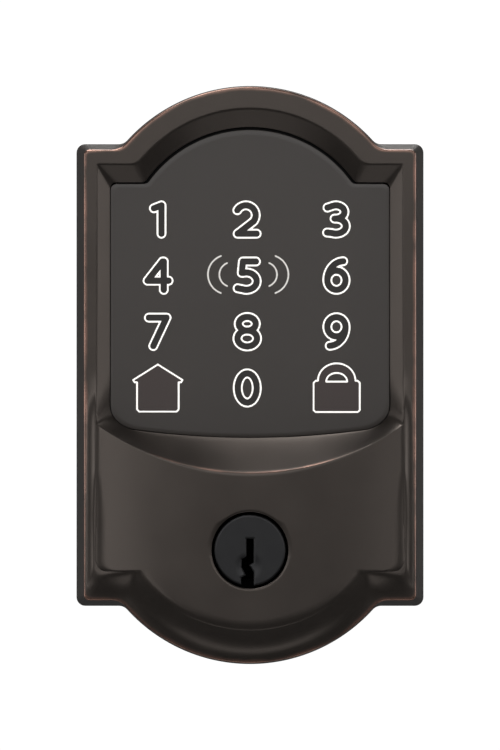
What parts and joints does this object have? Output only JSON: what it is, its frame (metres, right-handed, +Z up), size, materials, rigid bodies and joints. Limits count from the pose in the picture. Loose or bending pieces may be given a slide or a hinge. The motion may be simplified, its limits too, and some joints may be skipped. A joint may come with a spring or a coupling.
{
  "type": "keypad smart lock",
  "caption": "Arched keypad door lock: touch keypad and key cylinder outside; thumb turn, geared motor and battery case inside, clamped through a door.",
  "frame": {"origin": "key cylinder's axis where it crosses the door's outside face, which is the back face of the outside gasket", "axes": "+Y into the door from outside, along the cylinder and the tailpiece; +Z up; +X to the right as seen from outside"},
  "size_m": [0.0762, 0.1158, 0.127],
  "materials": {
    "bronze_casting": "satin, oil-rubbed bronze with copper edges",
    "lens_plastic": "satin dark window with printed keys",
    "seal_tape": "matt black tape",
    "clear_guide": "milky clear acrylic",
    "circuit_board": "green solder mask",
    "white_led": "yellow-white phosphor",
    "copper_coil": "enamelled copper",
    "chip_black": "matt epoxy",
    "connector_white": "matt nylon",
    "black_moulding": "fine textured",
    "button_grey": "smooth",
    "zinc_steel": "bright zinc plated",
    "screw_steel": "zinc plated",
    "gasket_foam": "closed-cell foam",
    "cylinder_brass": "machined brass",
    "plug_black": "black finish on brass",
    "spring_steel": "bright spring wire",
    "drive_steel": "plain steel",
    "case_bronze": "satin dark bronze paint",
    "turn_bronze": "satin dark bronze",
    "gear_nylon": "natural nylon",
    "gear_brass": "cut brass",
    "motor_metal": "nickel plated can",
    "cell_sleeve": "printed sleeve, bright ends"
  },
  "bodies": {
    "lock": {"escutcheon": "bronze_casting", "keypad_lens": "lens_plastic", "lens_seal": "seal_tape", "light_guide": "clear_guide", "keypad_board": "circuit_board", "inside_board": "circuit_board", "key_leds": "white_led", "reader_coil": "copper_coil", "keypad_chips": "chip_black", "board_chips": "chip_black", "setup_switch": "chip_black", "keypad_connector": "connector_white", "inside_connector": "connector_white", "keypad_carrier": "black_moulding", "battery_tray": "black_moulding", "sounder": "black_moulding", "back_plate": "zinc_steel", "bolt_posts": "zinc_steel", "mounting_plate": "zinc_steel", "motor_bracket": "zinc_steel", "tail_guard": "zinc_steel", "back_plate_screws": "screw_steel", "carrier_screws": "screw_steel", "cylinder_screws": "screw_steel", "through_bolts": "screw_steel", "housing_screws": "screw_steel", "bracket_screws": "screw_steel", "board_screws": "screw_steel", "door_gasket": "gasket_foam", "wire_grommet": "gasket_foam", "cylinder_housing": "cylinder_brass", "driver_pins": "cylinder_brass", "chamber_cap": "cylinder_brass", "pin_springs": "spring_steel", "battery_springs": "spring_steel", "battery_contacts": "spring_steel", "inside_housing": "case_bronze", "gear_motor": "motor_metal", "battery_1": "cell_sleeve", "battery_2": "cell_sleeve", "battery_3": "cell_sleeve", "battery_4": "cell_sleeve"},
    "key_plug": {"cylinder_plug": "plug_black", "key_pins": "cylinder_brass", "plug_clip": "spring_steel", "drive_cam": "drive_steel"},
    "turn": {"thumbturn": "turn_bronze", "thumbturn_clip": "spring_steel", "output_gear": "gear_nylon", "tailpiece": "drive_steel"},
    "motor_rotor": {"motor_shaft": "drive_steel", "motor_pinion": "gear_brass"},
    "cover": {"inside_cover": "case_bronze"},
    "button": {"setup_button": "button_grey"}
  },
  "joints": [
    {"name": "key_turn", "type": "hinge", "parent": "lock", "child": "key_plug", "pos_m": [0, 0, 0], "axis": [0, 1, 0], "range_deg": [-90, 90]},
    {"name": "thumb_turn", "type": "hinge", "parent": "lock", "child": "turn", "pos_m": [0, 0, 0], "axis": [0, 1, 0], "range_deg": [0, 90]},
    {"name": "motor_spin", "type": "hinge", "parent": "lock", "child": "motor_rotor", "pos_m": [0, 0, 0.0131], "axis": [0, 1, 0], "range_deg": [-300, 0]},
    {"name": "cover_slide", "type": "slide", "parent": "lock", "child": "cover", "axis": [0, 0, 1], "range_m": [0, 0.078]},
    {"name": "setup_press", "type": "slide", "parent": "lock", "child": "button", "axis": [0, -1, 0], "range_m": [0, 0.0004], "stiffness_N_per_m": 600}
  ],
  "couplings": [
    {"joint": "motor_spin", "follows": "thumb_turn", "ratio": -3.3333}
  ]
}
